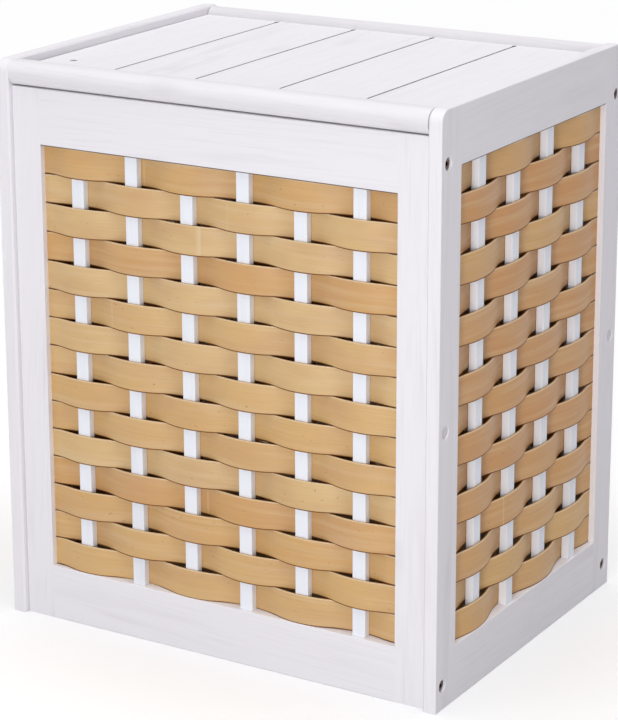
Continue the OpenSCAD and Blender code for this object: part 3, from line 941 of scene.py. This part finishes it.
def plank(node, first, last):
    """A plank along Y, with half a narrow slot along each upper edge that meets another plank. The walls and
    floors of its slots, and of the notches and the nick cut in it, are painted grey as shade."""
    low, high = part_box(node)
    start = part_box("lid_front_rail")[1].y
    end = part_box("lid_back_bar")[0].y
    left = low.x - END_SNUG if first else low.x
    right = high.x + END_SNUG if last else high.x - tongue_length()
    top = low.z + PLANK_T
    slot = [(0.0, SLOT_DEEP), (SLOT_HALF, SLOT_DEEP), (SLOT_HALF, SLOT_EDGE), (SLOT_HALF + SLOT_EDGE, 0.0)]
    outline = [(left, low.z + UNDER_EDGE), (left + UNDER_EDGE, low.z)]
    outline += [(right - UNDER_EDGE, low.z), (right, low.z + UNDER_EDGE)]
    outline += [(right, top)] if last else [(right - a, top - b) for a, b in slot]
    outline += [(left, top)] if first else [(left + a, top - b) for a, b in slot[::-1]]
    bm, _ = prism(outline, start, end, lambda x, z, run: Vector((x, run, z)))
    piece = new_object(node + "_board", bm)
    cutters = [notch(x, end, top) for x, skipped in ((left, first), (right, last)) if not skipped]
    if first:
        cutters.append(nick(top))
    cut(piece, cutters)
    # Painted shade on the walls and floors of the slots, notches and nick: the points below the top
    sunk = [low.z + PAST < v.co.z < top - SLOT_EDGE / 2 for v in piece.data.vertices]
    write_floats(piece.data, "bare", [1.0 if s else 0.0 for s in sunk])
    return piece


def notch(x, end, top):
    """Cutter for the small gap at the back end of a slot."""
    wide, long, deep = NOTCH_SIZE
    middle = end - NOTCH_INSET * long
    return lathe([(1.0, top - deep), (1.0, top - SLOT_EDGE), (1.0, top + PAST)],
                 lambda a, b, z: Vector((x + wide * a, middle + long * b, z)), SMALL_STEPS)


def nick(top):
    """Cutter for the small nick near the lid's front left corner."""
    wide, long, deep = NICK_SIZE
    x, y = NICK_PLACE
    return lathe([(NICK_FLOOR, top - deep), (NICK_WALL, top - SLOT_EDGE), (1.0, top + NICK_PAST)],
                 lambda a, b, z: Vector((x + wide * a, y + long * b, z)), SMALL_STEPS)


def tongue_length():
    """How far a plank's tongue reaches under the next plank."""
    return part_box("lid_plank_1")[1].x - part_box("lid_plank_2")[0].x


# Build

PANELS = [
    Panel("front", 0, "front_left_stile", "front_right_stile", 1, 0.0),
    Panel("right", 90, "right_front_stile", "right_back_stile", -1, CORNER_R),
    Panel("back", 180, "back_right_stile", "back_left_stile", 1, 0.0),
    Panel("left", -90, "left_back_stile", "left_front_stile", -1, CORNER_R),
]
SIDES = {"left": -1, "right": 1}
SIDEWAYS = (1, 0, 0)
BACKWARDS = (0, 1, 0)
UP = (0, 0, 1)


def stile_cutters(panel, side):
    """Bolt holes in a side panel's stile, with a bore for the lid's pin in the back one, or cross nut bores
    in a front or back panel's stile."""
    if panel.name in SIDES:
        out = SIDES[panel.name]
        middle_y = (panel.turn @ Vector((side, 0, 0))).y
        spots = [p for p in bolt_points(panel.name + "_bolts") if p[0] * middle_y > 0]
        holes = [sunk_hole(out, panel.reach, y, z) for y, z in spots]
        if middle_y > 0:
            holes.append(pin_hole(out, panel.name + "_pivot_pin"))
        return holes
    out = 1 if (panel.turn @ Vector((side, 0, 0))).x > 0 else -1
    depth_y = -panel.reach + panel.thick / 2
    y = (panel.turn @ Vector((0, depth_y, 0))).y
    heights = sorted({round(z, 5) for _, z in bolt_points("right_bolts")})
    return [nut_hole(out, panel.half - NUT_INSET, y, z, panel.thick) for z in heights]


def build_panel(panel):
    for node, side in ((panel.low_stile, -1), (panel.high_stile, 1)):
        piece = stile(panel, node, side, stile_cutters(panel, side))
        finish_board(piece, node, UP, WHITE_PAINT)
    rails = (("bottom_rail", 0.0, True), ("top_rail", panel.height - panel.rail_w, False))
    for what, low, outer_low in rails:
        node = panel.node(what)
        piece = rail(panel, node, low, outer_low)
        finish_board(piece, node, panel.along(), WHITE_PAINT)
    node = panel.node("laths")
    finish_board(laths(panel, node), node, UP, LATH_PAINT_COOLED_FOR_BOUNCE)
    for what, odd in (("strips_odd", True), ("strips_even", False)):
        node = panel.node(what)
        piece = strips(panel, node, odd)
        smooth(piece, STRIP_ANGLE)
        dress(piece, node, BAMBOO)


def build_lid():
    bars = (("lid_front_rail", front_rail_outline()), ("lid_back_bar", back_bar_outline()))
    for node, outline in bars:
        piece = lid_rail_piece(node, outline)
        # The bars' paint is made a little darker, as painted shade on their bright tops
        finish_board(piece, node, SIDEWAYS, WHITE_PAINT, ROUND_BAR_SHADE)
    names = sorted(n for n in frame["nodes"] if n.startswith("lid_plank_"))
    for node in names:
        piece = plank(node, node == names[0], node == names[-1])
        finish_board(piece, node, BACKWARDS, WHITE_PAINT)


def build_base():
    for node in ("base_board", "front_cleat", "back_cleat", "left_cleat", "right_cleat"):
        low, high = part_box(node)
        bm = block(low, high)
        ease(bm, list(bm.edges), BASE_EDGE)
        piece = new_object(node + "_board", bm)
        along = SIDEWAYS if high.x - low.x > high.y - low.y else BACKWARDS
        finish_board(piece, node, along, PLAIN_BOARD)


def build_fasteners():
    for name, side in SIDES.items():
        node = name + "_bolts"
        low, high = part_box(node)
        near, far = sorted((abs(low.x), abs(high.x)))
        seat = far - HEAD_H
        length = far - near - HEAD_H
        spots = bolt_points(node)
        piece = new_object(node + "_turned", joined([bolt(side, seat, y, z, length) for y, z in spots]))
        cut(piece, [socket(side, seat, y, z) for y, z in spots])
        smooth(piece, BOLT_ANGLE)
        dress(piece, node, BRONZE)
        node = name + "_bolt_caps"
        low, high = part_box(node)
        reach = sorted((abs(low.x), abs(high.x)))
        radius = (high.z - low.z) / 2
        middle = (high.z + low.z) / 2
        parts = [cap(side, *reach, y, middle, radius) for y in (low.y + radius, high.y - radius)]
        piece = new_object(node + "_moulded", joined(parts))
        smooth(piece, CAP_ANGLE)
        dress(piece, node, CAP)
    for node in ("left_cross_nuts", "right_cross_nuts", "left_pivot_pin", "right_pivot_pin"):
        held = frame["nodes"][node]
        held.data.materials.clear()
        held.data.materials.append(ZINC)


# Stage

def build_camera():
    data = bpy.data.cameras.new("camera")
    data.sensor_width = CAMERA_SENSOR_MM
    data.lens = CAMERA_LENS_MM
    data.shift_x, data.shift_y = CAMERA_SHIFT
    data.clip_end = CAMERA_REACH
    camera = bpy.data.objects.new("camera", data)
    bpy.context.scene.collection.objects.link(camera)
    look = (Vector(CAMERA_AIM) - Vector(CAMERA_PLACE)).to_track_quat("-Z", "Y")
    camera.matrix_world = (Matrix.Translation(CAMERA_PLACE) @ look.to_matrix().to_4x4()
                           @ Matrix.Rotation(CAMERA_ROLL, 4, "Z"))
    bpy.context.scene.camera = camera


def background_rays(tree):
    """1 for rays that show the background directly, by reflection or through glass."""
    path = add(tree, "ShaderNodeLightPath").outputs
    mirror = maths(tree, "MAXIMUM", path["Is Glossy Ray"], path["Is Transmission Ray"])
    return maths(tree, "MAXIMUM", path["Is Camera Ray"], mirror)


def build_floor():
    """A plain floor that is nearly white to the camera, keeps the shadow, and throws back less light."""
    bm = bmesh.new()
    bmesh.ops.create_grid(bm, x_segments=1, y_segments=1, size=FLOOR_HALF)
    floor = new_object("floor", bm)
    material, tree = tree_of("floor_look")
    tree.nodes.remove(tree.nodes["Principled BSDF"])
    seen = background_rays(tree)
    colour = mixed(tree, seen, FLOOR_BOUNCE, BACKGROUND)
    matt = add(tree, "ShaderNodeBsdfDiffuse", {"Color": colour}).outputs[0]
    white = add(tree, "ShaderNodeEmission", {"Strength": 1.0}).outputs[0]
    share = maths(tree, "MULTIPLY", seen, FLOOR_WHITE)
    both = add(tree, "ShaderNodeMixShader", {0: share, 1: matt, 2: white})
    tree.links.new(both.outputs[0], tree.nodes["Material Output"].inputs["Surface"])
    floor.data.materials.append(material)


def build_sky():
    """An even, soft light from all round, that shows as white behind the trunk."""
    world = bpy.data.worlds.new("studio")
    bpy.context.scene.world = world
    world.use_nodes = True
    tree = world.node_tree
    shown = mixed(tree, background_rays(tree), SKY_LIGHT, BACKGROUND)
    tree.links.new(shown, tree.nodes["Background"].inputs["Color"])


def build_key():
    """A round soft lamp to the right of the front."""
    data = bpy.data.lights.new("key", "AREA")
    data.shape = "DISK"
    data.size = KEY_SIZE
    data.energy = KEY_POWER
    lamp = bpy.data.objects.new("key", data)
    bpy.context.scene.collection.objects.link(lamp)
    lamp.location = KEY_PLACE
    lamp.rotation_euler = (Vector(KEY_AIM) - Vector(KEY_PLACE)).to_track_quat("-Z", "Y").to_euler()


def build_overhead():
    """A distant, very broad light that shines straight down."""
    data = bpy.data.lights.new("overhead", "SUN")
    data.energy = OVERHEAD_STRENGTH
    data.angle = OVERHEAD_SPREAD
    lamp = bpy.data.objects.new("overhead", data)
    bpy.context.scene.collection.objects.link(lamp)


build_camera()
build_floor()
build_sky()
build_key()
build_overhead()
for panel in PANELS:
    build_panel(panel)
build_lid()
build_base()
build_fasteners()

bpy.context.scene.view_settings.view_transform = "Standard"
